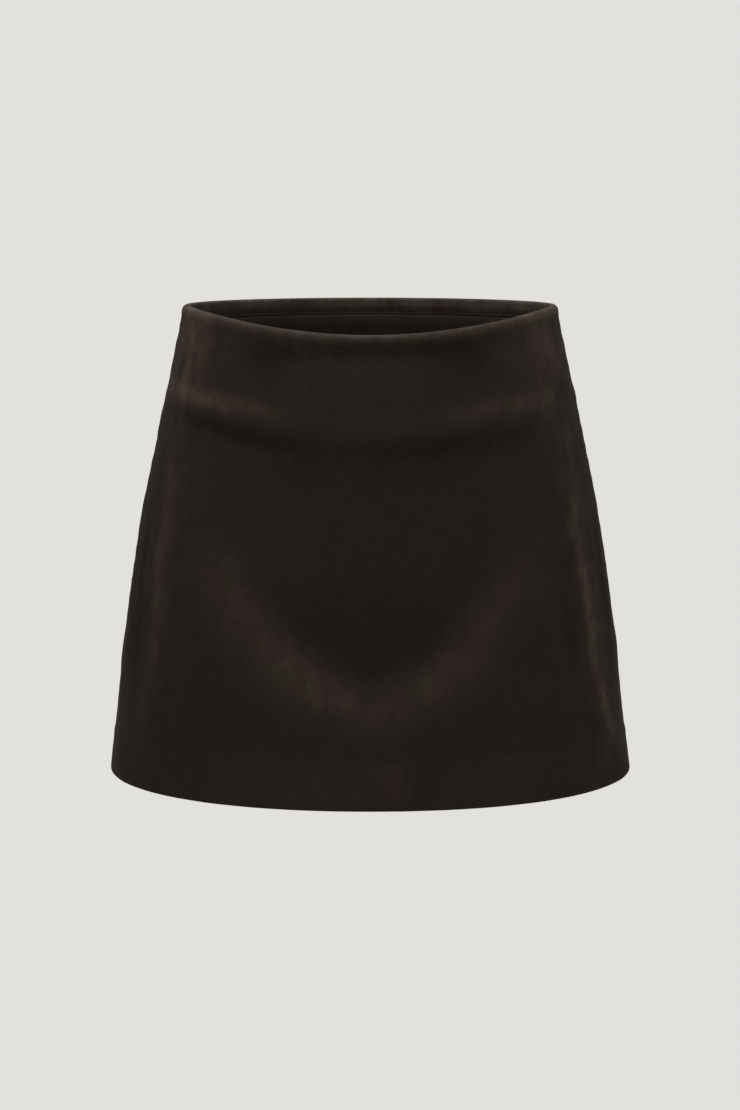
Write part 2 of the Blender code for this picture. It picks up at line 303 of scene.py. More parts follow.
# The knit's painted highlights and painted shade, most of them deep inside the back
KNIT_PAINTED_LIGHT = (
    PaintedPatch(-90, 0.034, 0.090, 0.012, 0.42),
    PaintedPatch(-84, 0.024, 0.012, 0.008, 0.26),
    PaintedPatch(-93, 0.030, 0.007, 0.012, -0.26),
    PaintedPatch(-109, 0.022, 0.020, 0.006, 0.14),
    PaintedPatch(-62, 0.022, 0.022, 0.007, 0.12),
    PaintedPatch(-124, 0.030, 0.016, 0.008, -0.12),
    PaintedPatch(-40, 0.032, 0.016, 0.010, 0.12),
    PaintedPatch(-140, 0.026, 0.018, 0.010, 0.12),
    PaintedPatch(70, 0.060, 0.030, 0.020, 0.12),
    PaintedPatch(112, 0.080, 0.034, 0.022, 0.12),
)

# Creases of the inner shorts, in the same way
SHORTS_CREASES = (
    Crease(((88, 0.134), (62, 0.120), (34, 0.124)), 0.007, 0.0008, 0.0),
    Crease(((88, 0.158), (66, 0.152), (44, 0.158)), 0.007, 0.0007, 0.0),
    Crease(((92, 0.130), (116, 0.118), (144, 0.126)), 0.007, 0.0007, 0.0),
    Crease(((92, 0.162), (112, 0.154), (138, 0.156)), 0.007, 0.0008, 0.0),
    Crease(((-86, 0.186), (-62, 0.194), (-30, 0.186)), 0.009, -0.0010, 0.0),
    Crease(((-94, 0.188), (-118, 0.194), (-150, 0.184)), 0.009, -0.0009, 0.0),
    Crease(((8, 0.190), (4, 0.230), (10, 0.280)), 0.009, 0.0008, 0.0),
    Crease(((172, 0.196), (176, 0.236), (170, 0.286)), 0.009, 0.0008, 0.0),
)

CLOTH_RADIUS = 0.150  # turns a turn into a length along the cloth
CREASE_TAPER = 0.34  # share of a crease over which each end fades out
SPAN_STEPS = 6

# The camera
CAMERA_BACK = 1.92
CAMERA_UP = 0.110
CAMERA_PITCH = 8.875  # degrees down
FOCAL_PIXELS = 2560.0
IMAGE_HEIGHT = 1110.0
SENSOR = 36.0

# The studio
BACKGROUND_SRGB = (226, 225, 221)
FLOOR_DEPTH = 1.13
FLOOR_RADIUS = 1.20
FLOOR_FADE = (0.30, FLOOR_RADIUS * 0.98)  # distances from its middle between which it fades out


# ---------------------------------------------------------------- shape of the garment


def along(rows, depth, column):
    """The smooth curve through one column of a table, at an array of depths. It never overshoots a row."""
    depth = np.asarray(depth, float)
    depths = np.array([row.depth for row in rows])
    values = np.array([getattr(row, column) for row in rows])
    steps = np.diff(depths)
    slopes = np.diff(values) / steps
    product = slopes[:-1] * slopes[1:]
    total = np.where(product > 0, slopes[:-1] + slopes[1:], 1.0)
    inner = np.where(product > 0, 2 * product / total, 0.0)
    tangents = np.concatenate([slopes[:1], inner, slopes[-1:]])
    i = np.clip(np.searchsorted(depths, depth, side="right") - 1, 0, len(rows) - 2)
    t = (depth - depths[i]) / steps[i]
    start = (1 + 2 * t) * (1 - t) ** 2 * values[i] + t * (1 - t) ** 2 * steps[i] * tangents[i]
    end = t * t * (3 - 2 * t) * values[i + 1] + t * t * (t - 1) * steps[i] * tangents[i + 1]
    return start + end


def smooth_step(t):
    """0 up to 0, 1 from 1 on, and a soft slope between."""
    t = np.clip(t, 0.0, 1.0)
    return t * t * (3 - 2 * t)


def bump(distance, width):
    """1 at no distance, fading to 0 over about twice the width."""
    return np.exp(-((distance / width) ** 2))


def swell(line, distance):
    """How far a soft line stands out at a distance from its edge or seam."""
    return line.height * bump(distance - line.distance, line.width)


def half_name(half):
    return "front" if half == FRONT else "back"


def depth_at(half, angle, below):
    """Depth of a place on a panel. The front's waist edge dips, and the hem stays level."""
    if half == BACK:
        return below + 0.0 * angle
    dip = FRONT_DIP * np.clip(np.sin(angle), 0.0, None) ** DIP_SHAPE
    return below + dip * (1 - below / LENGTH)


def fold_height(half, angle, depth):
    """How far the large folds stand out. Each hangs like a garland, lowest at the middle of its half."""
    across = np.abs(np.cos(angle))
    height = np.zeros_like(depth)
    for fold in FOLDS:
        if fold.half == half:
            line = fold.depth - fold.bow * (across / fold.reach) ** 2
            fade = np.exp(-((across / fold.reach) ** 4))
            height += fold.height * fade * bump(depth - line, fold.width)
    return height


def section(half, angle, depth, ease=None):
    """Points of the skirt's outer face, or of the shorts' where their ease is given, and level normals."""
    side = along(SKIRT_SECTIONS, depth, "side")
    reach = along(SKIRT_SECTIONS, depth, half_name(half))
    power = along(SKIRT_SECTIONS, depth, "squareness")
    if ease is not None:
        side = side - along(ease, depth, "side")
        reach = reach - along(ease, depth, half_name(half))
    cosine = np.cos(angle)
    sine = np.abs(np.sin(angle))
    x = side * np.sign(cosine) * np.abs(cosine) ** (2 / power)
    y = half * reach * sine ** (2 / power)
    normal_x = np.sign(x) * (np.abs(x) / side) ** (power - 1) / side
    normal_y = half * (np.abs(y) / reach) ** (power - 1) / reach
    size = np.hypot(normal_x, normal_y)
    flat = np.zeros_like(x)
    points = np.stack([x, y, flat - depth], -1)
    normals = np.stack([normal_x / size, normal_y / size, flat], -1)
    return points, normals


def smooth_path(path):
    """A path of (turn, depth) through its own points, with steps between them."""
    points = np.array(path, float)
    ends = np.vstack([2 * points[0] - points[1], points, 2 * points[-1] - points[-2]])
    steps = []
    for i in range(1, len(ends) - 2):
        before, first, last, after = ends[i - 1 : i + 3]
        for t in np.linspace(0.0, 1.0, SPAN_STEPS, endpoint=False):
            straight = 2 * first + (last - before) * t
            bend = (2 * before - 5 * first + 4 * last - after) * t**2
            twist = (3 * first - before - 3 * last + after) * t**3
            steps.append((straight + bend + twist) / 2)
    steps.append(points[-1])
    return np.array(steps)


def crease_reach(path, turn, depth):
    """Distance from each place to the path, and the share of the path before its nearest point."""
    steps = smooth_path(path)
    nearest = np.full(turn.shape, np.inf)
    share = np.zeros(turn.shape)
    count = len(steps) - 1
    for i in range(count):
        step = (steps[i + 1] - steps[i]) * (math.radians(CLOTH_RADIUS), 1.0)
        aside = (turn - steps[i][0] + 180.0) % 360.0 - 180.0
        aside = math.radians(CLOTH_RADIUS) * aside
        down = depth - steps[i][1]
        t = np.clip((aside * step[0] + down * step[1]) / (step @ step), 0.0, 1.0)
        distance = np.hypot(aside - t * step[0], down - t * step[1])
        closer = distance < nearest
        nearest = np.where(closer, distance, nearest)
        share = np.where(closer, (i + t) / count, share)
    return nearest, share


def creases_at(rows, turn, depth):
    """How far a table's creases stand out at each place, and how much lighter or darker they are painted
    there.
    """
    height = np.zeros_like(depth)
    nap = np.zeros_like(depth)
    for crease in rows:
        distance, share = crease_reach(crease.path, turn, depth)
        fade = smooth_step(share / CREASE_TAPER) * smooth_step((1 - share) / CREASE_TAPER)
        profile = fade * bump(distance, crease.width)
        height += crease.height * profile
        nap += crease.nap * profile
    return height, nap


def painted_patches_at(rows, turn, depth):
    """How much lighter or darker a table's places paint the cloth."""
    amount = np.zeros_like(depth)
    for place in rows:
        aside = (turn - place.turn + 180.0) % 360.0 - 180.0
        aside = math.radians(CLOTH_RADIUS) * aside
        amount += place.amount * bump(aside, place.across) * bump(depth - place.depth, place.tall)
    return amount


def unevenness(points, size, seed):
    """Smooth noise of about -1 to 1 at each point, with hollows and humps of that size."""
    flat = points.reshape(-1, 3) / size
    offset = Vector([seed * shift for shift in NOISE_SHIFT])
    values = [noise.noise(Vector(point) + offset) for point in flat]
    return np.array(values).reshape(points.shape[:-1]) * NOISE_RANGE


def casing_shape(angle, below):
    """The waist edge stands plump over its elastic, with a shallow hollow under the casing."""
    middle = np.exp(-((np.cos(angle) / CASING_MIDDLE) ** 4))
    hollow = swell(UNDER_CASING, below) + middle * swell(UNDER_CASING_MIDDLE, below)
    return swell(PLUMP_EDGE, below) + hollow


def seam_shape(points, depth):
    """The two panels turn in at a side seam, which pulls the suede in slight puckers."""
    towards = np.abs(points[..., 1])
    wave = np.sin(depth * PUCKER_WAVE + 2.0 * np.sin(depth * PUCKER_DRIFT))
    puckers = wave * swell(SEAM_PUCKERS, towards)
    return swell(SEAM_GROOVE, towards) + swell(SEAM_VALLEY, towards) + puckers


def hem_shape(turn, depth):
    """The turned-up hem's edge shows through faintly, more in some places than in others."""
    edge = LENGTH - HEM_ALLOWANCE
    around = np.radians(turn)
    strength = 0.55 + 0.45 * np.sin(around * 3.0 + 0.6) * np.sin(around + 1.1)
    step = HEM_STEP * smooth_step((depth - edge + 0.0025) / 0.005)
    return strength * (step + swell(HEM_RIDGE, depth - edge))


def panel_grid(half, belows):
    """Places of one panel of the skirt: rows from the waist edge to the hem, columns from seam to seam."""
    ends = np.radians(SEAM_TURNS)
    middle = np.linspace(ends[-1], math.pi - ends[-1], PANEL_COLUMNS)
    angles = np.concatenate([ends[:-1], middle, (math.pi - ends[:-1])[::-1]])
    angle, below = np.meshgrid(angles, belows)
    depth = depth_at(half, angle, below)
    turn = np.degrees(angle) * -half
    return angle, below, depth, turn


def round_edge(inward, radius):
    """Inset of a half-round edge, at a distance inward from it."""
    over = np.clip(radius - inward, 0.0, radius)
    return radius - np.sqrt(np.clip(radius**2 - over**2, 0.0, None))


def panel_belows():
    """Rows of a panel, closest at the rolled edge, at the hem allowance's edge and at the hem."""
    casing = list(np.arange(0.0070, 0.0300, CASING_ROW))
    edge = LENGTH - HEM_ALLOWANCE
    plain = list(np.arange(0.0300, edge - 0.0020, PANEL_ROW))
    allowance = [edge - 0.0012, edge - 0.0004, edge + 0.0002]
    turned = list(np.arange(edge + 0.0020, LENGTH - 0.0026, PANEL_ROW))
    hem = [LENGTH - up for up in HEM_ROWS]
    return np.array([*ROLL_ROWS, ROLL_HEIGHT, *casing, *plain, *allowance, *turned, *hem])


def panel_faces(half):
    """The outer and the inner face of one panel, its painted light and nap, and its flat places."""
    angle, below, depth, turn = panel_grid(half, panel_belows())
    points, normals = section(half, angle, depth)
    crease, nap = creases_at(CREASES, turn, depth)
    uneven = sum(row.height * unevenness(points, row.size, row.seed) for row in SUEDE_UNEVEN)
    calm = smooth_step((below - 0.004) / 0.03)
    height = fold_height(half, angle, depth) + crease + uneven * (0.3 + 0.7 * calm)
    height += casing_shape(angle, below)
    height += seam_shape(points, depth)
    height += hem_shape(turn, depth)
    up = LENGTH - below
    rolled = round_edge(below, ROLL / 2) * EDGE_FULLNESS
    hemmed = round_edge(up, HEM_SUEDE / 2) * EDGE_FULLNESS
    outer = rolled + hemmed
    inner = np.where(below < ROLL_HEIGHT - 0.0001, ROLL, SUEDE) - rolled
    inner = np.where(below > LENGTH - HEM_ALLOWANCE, HEM_SUEDE, inner) - hemmed
    # Painted highlights and painted shade over the creases and in broad patches, with brushed nap, a
    # painted highlight along the waist edge and a lighter line at the hem's fold.
    nap = nap + painted_patches_at(PAINTED_LIGHT_AND_NAP_PATCHES, turn, depth)
    nap = nap + painted_edge_highlight(angle, below) + swell(HEM_LIGHTER, up)
    outside = points + (height - outer)[..., None] * normals
    inside = points + (height - inner)[..., None] * normals
    layers = {
        "nap": (nap, painted_inside_highlight(points, below)),
        "worn": (worn_at(angle), 0.0 * nap),
    }
    return outside, inside, layers, cloth_places(turn, depth)


def worn_at(angle):
    """The nap is more mottled towards the side seams."""
    return smooth_step((np.abs(np.cos(angle)) - WORN_FROM) / WORN_OVER)


def painted_edge_highlight(angle, below):
    """Painted highlight along the waist edge where it rolls over, strongest and narrowest at its middle."""
    middle = bump(np.cos(angle), EDGE_MIDDLE)
    amount = EDGE_HIGHLIGHT.height + EDGE_LIGHTER * middle
    return amount * bump(below - EDGE_HIGHLIGHT.distance, EDGE_HIGHLIGHT.width - EDGE_NARROWER * middle)


def painted_inside_highlight(points, below):
    """Painted highlight on the turned-in edge, strongest near its top, in soft patches."""
    patches = 1.0 + TURNED_PATCHES * unevenness(points, TURNED_PATCH_SIZE, 9)
    return sum(swell(line, below) for line in TURNED_HIGHLIGHT) * patches


def cloth_places(turn, depth):
    """Flat coordinates in metres for the texture of a cloth."""
    return np.stack([np.radians(turn) * CLOTH_RADIUS, -depth], -1)


# ---------------------------------------------------------------- meshes


def wall_object(name, outer, inner, layers, places, outward, material):
    """A closed cloth between two grids of points of equal size."""
    rows, columns = outer.shape[:2]
    count = rows * columns
    index = np.arange(count).reshape(rows, columns)
    a, b = index[:-1, :-1].ravel(), index[1:, :-1].ravel()
    c, d = index[1:, 1:].ravel(), index[:-1, 1:].ravel()
    front = np.stack([a, b, c, d], -1)
    back = np.stack([a, d, c, b], -1) + count
    rims = []
    for edge in (index[0], index[-1][::-1], index[:, 0][::-1], index[:, -1]):
        rims.append(np.stack([edge[:-1], edge[1:], edge[1:] + count, edge[:-1] + count], -1))
    quads = np.concatenate([front, back, *rims])
    if outward < 0:
        quads = quads[:, ::-1]
    points = np.concatenate([outer.reshape(-1, 3), inner.reshape(-1, 3)])
    data = bpy.data.meshes.new(name)
    data.from_pydata(points.tolist(), [], quads.tolist())
    both = {key: np.concatenate([layer.ravel() for layer in pair]) for key, pair in layers.items()}
    flat = np.concatenate([places.reshape(-1, 2), places.reshape(-1, 2)])
    return finish_cloth(name, data, both, flat, material)


def finish_cloth(name, data, layers, places, material):
    """Adds its layers of numbers and its flat places to a mesh, and makes its object."""
    for key, values in layers.items():
        layer = data.attributes.new(key, "FLOAT", "POINT")
        layer.data.foreach_set("value", values.astype(np.float32))
    corners = np.zeros(len(data.loops), np.int32)
    data.loops.foreach_get("vertex_index", corners)
    uv = data.uv_layers.new(name="cloth")
    uv.data.foreach_set("uv", places[corners].astype(np.float32).ravel())
    data.materials.append(material)
    data.shade_smooth()
    data.set_sharp_from_angle(angle=SHARP_ANGLE)
    piece = bpy.data.objects.new(name, data)
    bpy.context.scene.collection.objects.link(piece)
    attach(piece, "root")
    return piece


def add_panel(half, material):
    """The front or the back of the skirt."""
    name = f"{half_name(half)}_panel"
    outside, inside, layers, places = panel_faces(half)
    return wall_object(name, outside, inside, layers, places, half, material)


def band_belows():
    """Rows of the casing, closest at its two edges."""
    height = BAND_BOTTOM - BAND_TOP
    middle = list(np.linspace(0.0009, height - 0.0009, BAND_ROWS))
    return BAND_TOP + np.array([*BAND_EDGE_ROWS, *middle, *(height - x for x in BAND_EDGE_ROWS[::-1])])


def band_gathers(turn, below):
    """The elastic draws the casing into small uneven gathers."""
    place = np.radians(turn) * CLOTH_RADIUS
    wander = 1.4 * np.sin(place * 70.0) + 0.8 * np.sin(place * 31.0 + 1.0)
    return np.sin(place * GATHER_WAVE + wander) * swell(GATHERS, below)


def add_band(half, material):
    """The casing of the elastic inside the front or the back waist."""
    angles = np.linspace(0.0, math.pi, BAND_COLUMNS)
    angle, below = np.meshgrid(angles, band_belows())
    depth = depth_at(half, angle, below)
    turn = np.degrees(angle) * -half
    points, normals = section(half, angle, depth)
    edge = np.minimum(below - BAND_TOP, BAND_BOTTOM - below)
    inset = round_edge(edge, BAND_EDGE)
    outer = BAND_OUTER + inset
    relief = band_gathers(turn, below) + swell(STITCH_LINE, below)
    inner = BAND_INNER - inset + relief
    outside = points - outer[..., None] * normals
    inside = points - inner[..., None] * normals
    # Painted highlight near the top of the casing, and painted shade along its stitches.
    nap = painted_inside_highlight(points, below) + swell(STITCH_GROOVE_SHADE, below)
    name = f"{half_name(half)}_casing"
    layers = {"nap": (nap, nap), "worn": (0.0 * nap, 0.0 * nap)}
    return wall_object(name, outside, inside, layers, cloth_places(turn, depth), half, material)


# ---------------------------------------------------------------- inner shorts


def leg_shift(below):
    """0 where the shorts still wrap the whole hip, and 1 where each leg is a tube of its own."""
    return smooth_step((below - RISE_SPLIT) / (LEGS_APART_FROM - RISE_SPLIT))


def under_casing(below):
    """Just below the casing the knit comes in level with it."""
    comes_in = smooth_step((below - BAND_BOTTOM) / 0.0010)
    goes_out = 1 - smooth_step((below - 0.016) / 0.022)
    return FLUSH * comes_in * goes_out


def shorts_relief(side, angle, turn, below, depth, points):
    """How far the creases, the hem and the side of the outer half stand out or in."""
    crease = creases_at(SHORTS_CREASES, turn, depth)[0]
    height = crease + np.minimum(casing_shape(angle, below), 0.0) - under_casing(below)
    uneven = unevenness(points, KNIT_UNEVEN_SIZE, KNIT_UNEVEN_SEED + side)
    height += KNIT_UNEVEN * smooth_step((below - 0.03) / 0.05) * uneven
    hem = SHORTS_LENGTH - LEG_HEM
    height += LEG_HEM_STEP * smooth_step((below - hem) / 0.0012)
    at_side = bump(points[..., 1], 0.002) * smooth_step((below - 0.014) / 0.004)
    height += LEG_SIDE * at_side * (1 - smooth_step((below - 0.05) / 0.03))
    return height


def shorts_outside(side, belows):
    """The outer half of a leg: rows down from the casing, columns from centre front to centre back."""
    quarter = np.linspace(0.0, math.pi / 2, LEG_QUARTER_COLUMNS + 1)
    grids = []
    for half, angles in ((FRONT, quarter[::-1]), (BACK, quarter[1:])):
        angle, below = np.meshgrid(angles, belows)
        depth = depth_at(half, angle, below)
        points, normals = section(half, angle, depth, SHORTS_EASE)
        turn = np.degrees(angle if side == LEFT else math.pi - angle) * -half
        height = shorts_relief(side, angle, turn, below, depth, points)
        widest = along(SKIRT_SECTIONS, depth, "side") - along(SHORTS_EASE, depth, "side")
        middle = LEG_AXIS * leg_shift(below)
        x = middle + points[..., 0] / widest * (widest - middle)
        height += swell(RISE_SEAM, x) * (1 - smooth_step((below - RISE_SPLIT) / 0.01))
        moved = np.stack([x, points[..., 1], points[..., 2]], -1) + height[..., None] * normals
        moved[..., 0] = np.maximum(moved[..., 0], 0.0)
        # The knit's painted highlights and painted shade.
        grids.append((moved, cloth_places(turn, depth), painted_patches_at(KNIT_PAINTED_LIGHT, turn, depth)))
    points, places, nap = (np.concatenate(parts, 1) for parts in zip(*grids))
    return points * (side, 1.0, 1.0), places, nap


def shorts_inside(side, starts, ends, shares):
    """The inner side of a leg, between the two ends of its outer half's rows.

    share is 0 along the rise and 1 at the leg's opening. The columns are closer towards the two ends.
    """
    angle = np.pi * np.arange(1, LEG_INNER_COLUMNS) / LEG_INNER_COLUMNS
    angle = 0.3 * angle + 0.7 * np.pi * (1 - np.cos(angle)) / 2
    towards = np.sin(angle) ** (2 / CROTCH_ROUND)
    across = (1 - np.cos(angle)) / 2
    top = -starts[0][2] - (ends[0][2] - starts[0][2]) * across
    rows = []
    for start, end, share in zip(starts, ends, shares):
        y = start[1] + (end[1] - start[1]) * across
        level = -start[2] - (end[2] - start[2]) * across
        depth = level + (CROTCH - top) * towards * (1 - share)
        middle = abs(start[0])
        inner = LEG_APART * share
        inseam = swell(INSEAM, angle - math.pi / 2) * smooth_step(share / 0.1)
        x = middle + (inner - middle) * towards + inseam
        rows.append(np.stack([side * x, y, -depth], -1))
    return np.array(rows)


def shorts_belows():
    """Rows of the shorts over the hips, and rows of a leg."""
    casing = [SHORTS_TOP, 0.0095, BAND_BOTTOM, 0.0133, 0.0136, 0.0140, 0.0150]
    hips = np.concatenate([casing, np.arange(0.0168, RISE_SPLIT - 0.001, LEG_ROW)])
    hem = SHORTS_LENGTH - LEG_HEM
    upper = np.arange(RISE_SPLIT, hem - 0.001, LEG_ROW)
    edge = [hem - 0.0003, hem + 0.0004, hem + 0.0012]
    lower = np.arange(hem + 0.003, SHORTS_LENGTH - 0.0005, LEG_ROW)
    return hips, np.concatenate([upper, edge, lower, [SHORTS_LENGTH]])


def add_leg(name, side, material):
    """One leg of the shorts: half of the hips down to the rise, and below it a tube.

    Also gives the closed line round the leg on which its hem is stitched.
    """
    hips, leg = shorts_belows()
    outside, places, nap = shorts_outside(side, np.concatenate([hips, leg]))
    shares = (leg - RISE_SPLIT) / (SHORTS_LENGTH - RISE_SPLIT)
    first = len(hips)
    inside = shorts_inside(side, outside[first:, 0], outside[first:, -1], shares)
    rows, columns = outside.shape[:2]
    index = np.arange(rows * columns).reshape(rows, columns)
    inner = np.arange(inside.shape[0] * inside.shape[1]).reshape(inside.shape[:2]) + rows * columns
    closed = np.concatenate([index[first:, :1], inner, index[first:, -1:]], 1)
    quads = []
    for grid, turned in ((index, side), (closed, -side)):
        a, b = grid[:-1, :-1].ravel(), grid[1:, :-1].ravel()
        c, d = grid[1:, 1:].ravel(), grid[:-1, 1:].ravel()
        faces = np.stack([a, b, c, d], -1)
        quads.append(faces if turned > 0 else faces[:, ::-1])
    points = np.concatenate([outside.reshape(-1, 3), inside.reshape(-1, 3)])
    flat = np.stack([inside[..., 1] + INSEAM_PLACE, inside[..., 2]], -1)
    flat = np.concatenate([places.reshape(-1, 2), flat.reshape(-1, 2)])
    data = bpy.data.meshes.new(name)
    data.from_pydata(points.tolist(), [], np.concatenate(quads).tolist())
    nap = np.concatenate([nap.ravel(), np.zeros(inside[..., 0].size)])
    piece = finish_cloth(name, data, {"nap": nap}, flat, material)
    wall = piece.modifiers.new("cloth", "SOLIDIFY")
    wall.thickness = KNIT
    wall.offset = -1.0
    ring = len(leg) - 1 - int(round((LEG_HEM - 0.003) / LEG_ROW))
    loop = np.concatenate([outside[first + ring], inside[ring][::-1]])
    return piece, loop


# ---------------------------------------------------------------- stitches


def evenly_spaced(points, pitch):
    """Points and directions at equal steps along a closed line."""
    closed = np.vstack([points, points[:1]])
    lengths = np.linalg.norm(np.diff(closed, axis=0), axis=1)
    travelled = np.concatenate([[0.0], np.cumsum(lengths)])
    count = int(travelled[-1] / pitch)
    at = np.arange(count) * travelled[-1] / count
    spots = np.stack([np.interp(at, travelled, closed[:, k]) for k in range(3)], -1)
    ahead = np.roll(spots, -1, axis=0) - np.roll(spots, 1, axis=0)
    return spots, ahead / np.linalg.norm(ahead, axis=1, keepdims=True)


def add_stitches(name, points, outwards, material):
    """A row of short thread stitches on a closed line.

    outwards turns points into their directions away from the cloth.
    """
    spots, ahead = evenly_spaced(points, STITCH_PITCH)
    out = outwards(spots)
    out -= ahead * np.sum(out * ahead, axis=1, keepdims=True)
    out /= np.linalg.norm(out, axis=1, keepdims=True)
    across = np.cross(ahead, out)
    turns = np.linspace(0.0, 2 * math.pi, STITCH_SIDES, endpoint=False)
    grids = []
    for place, size, lift in STITCH_RINGS:
        for turn in turns:
            aside = across * (math.cos(turn) * size * STITCH_RADIUS)
            raised = out * ((math.sin(turn) * size + lift) * STITCH_RADIUS)
            grids.append(spots + ahead * (place * STITCH) + aside + raised)
    vertices = np.stack(grids, 1)
    count = len(STITCH_RINGS) * STITCH_SIDES
    quads = []
    for ring in range(len(STITCH_RINGS) - 1):
        for k in range(STITCH_SIDES):
            following = (k + 1) % STITCH_SIDES
            low = ring * STITCH_SIDES
            high = low + STITCH_SIDES
            quads.append((high + k, high + following, low + following, low + k))
    caps = [tuple(range(STITCH_SIDES)), tuple(range(count - STITCH_SIDES, count))[::-1]]
    faces = []
    for stitch in range(len(spots)):
        start = stitch * count
        faces += [tuple(start + v for v in face) for face in [*quads, *caps]]
    data = bpy.data.meshes.new(name)
    data.from_pydata(vertices.reshape(-1, 3).tolist(), [], faces)
    data.materials.append(material)
    data.shade_smooth()
    data.set_sharp_from_angle(angle=SHARP_ANGLE)
    piece = bpy.data.objects.new(name, data)
    bpy.context.scene.collection.objects.link(piece)
    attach(piece, "root")
    return piece


def band_stitch_points():
    """The line of stitches round the inside of the casing, near its lower edge."""
    halves = []
    for half in (FRONT, BACK):
        angle = np.linspace(0.0, math.pi, 400)[:-1]
        if half == BACK:
            angle = math.pi - angle
        depth = depth_at(half, angle, np.full_like(angle, BAND_STITCHES))
        points, normals = section(half, angle, depth)
        halves.append(points - (BAND_INNER - STITCH_SUNK) * normals)
    return np.concatenate(halves)


# ---------------------------------------------------------------- materials

KNIT_RIB = 0.0011  # from one rib of the knit to the next
KNIT_LOOP = 0.0009  # from one loop to the next along a rib

# Colours as 0 to 255
SUEDE_DARK, SUEDE_LIGHT, SUEDE_TAN = (17.5, 15, 10.5), (61, 48.5, 45), (66, 60, 53)
KNIT_DARK, KNIT_LIGHT = (23, 18.5, 14), (43, 35.5, 29)
THREAD_DARK, THREAD_LIGHT = (16, 14, 12), (40, 35, 30)
SHEEN_TINT = (226, 208, 200)


def linear(red, green, blue):
    """A colour given as 0 to 255, as linear light."""
    share = np.array([red, green, blue]) / 255
    light = np.where(share > 0.04045, ((share + 0.055) / 1.055) ** 2.4, share / 12.92)
    return (*light.tolist(), 1.0)


class Nodes:
    """Short calls that add nodes to one material."""

    def __init__(self, name):
        self.material = bpy.data.materials.new(name)
        self.material.use_nodes = True
        self.tree = self.material.node_tree
        self.shader = self.tree.nodes["Principled BSDF"]

    def add(self, kind, **settings):
        node = self.tree.nodes.new(kind)
        for key, value in settings.items():
            setattr(node, key, value)
        return node

    def link(self, source, target):
        self.tree.links.new(source, target)

    def math(self, operation, first, second):
        node = self.add("ShaderNodeMath", operation=operation)
        for socket, value in zip(node.inputs, (first, second)):
            if isinstance(value, (int, float)):
                socket.default_value = value
            else:
                self.link(value, socket)
        return node.outputs[0]

    def noise(self, places, scale, detail, roughness, upright=1.0):
        """Noise on places. Its spots stand taller than wide where upright is below 1."""
        mapping = self.add("ShaderNodeMapping")
        mapping.inputs["Scale"].default_value = (1.0, 1.0, upright)
        self.link(places, mapping.inputs["Vector"])
        texture = self.add("ShaderNodeTexNoise")
        texture.inputs["Scale"].default_value = scale
        texture.inputs["Detail"].default_value = detail
        texture.inputs["Roughness"].default_value = roughness
        self.link(mapping.outputs["Vector"], texture.inputs["Vector"])
        return texture.outputs["Fac"]

    def weighted(self, start, terms):
        """start plus each term's weight times how far it lies from its middle."""
        total = start
        for value, middle, weight in terms:
            part = self.math("MULTIPLY", self.math("SUBTRACT", value, middle), weight)
            total = self.math("ADD", part, total)
        return total

    def blend(self, factor, dark, light):
        """dark where the factor is 0, and light where it is 1. Each is a colour or a socket."""
        ramp = self.add("ShaderNodeMix", data_type="RGBA")
        ramp.clamp_factor = True
        for socket, colour in ((ramp.inputs["A"], dark), (ramp.inputs["B"], light)):
            if isinstance(colour, tuple):
                socket.default_value = colour
            else:
                self.link(colour, socket)
        self.link(factor, ramp.inputs["Factor"])
        return ramp.outputs["Result"]

    def bump(self, height, distance, strength):
        node = self.add("ShaderNodeBump")
        node.inputs["Distance"].default_value = distance
        node.inputs["Strength"].default_value = strength
        self.link(height, node.inputs["Height"])
        self.link(node.outputs["Normal"], self.shader.inputs["Normal"])

    def set(self, **values):
        for key, value in values.items():
            self.shader.inputs[key.replace("_", " ")].default_value = value


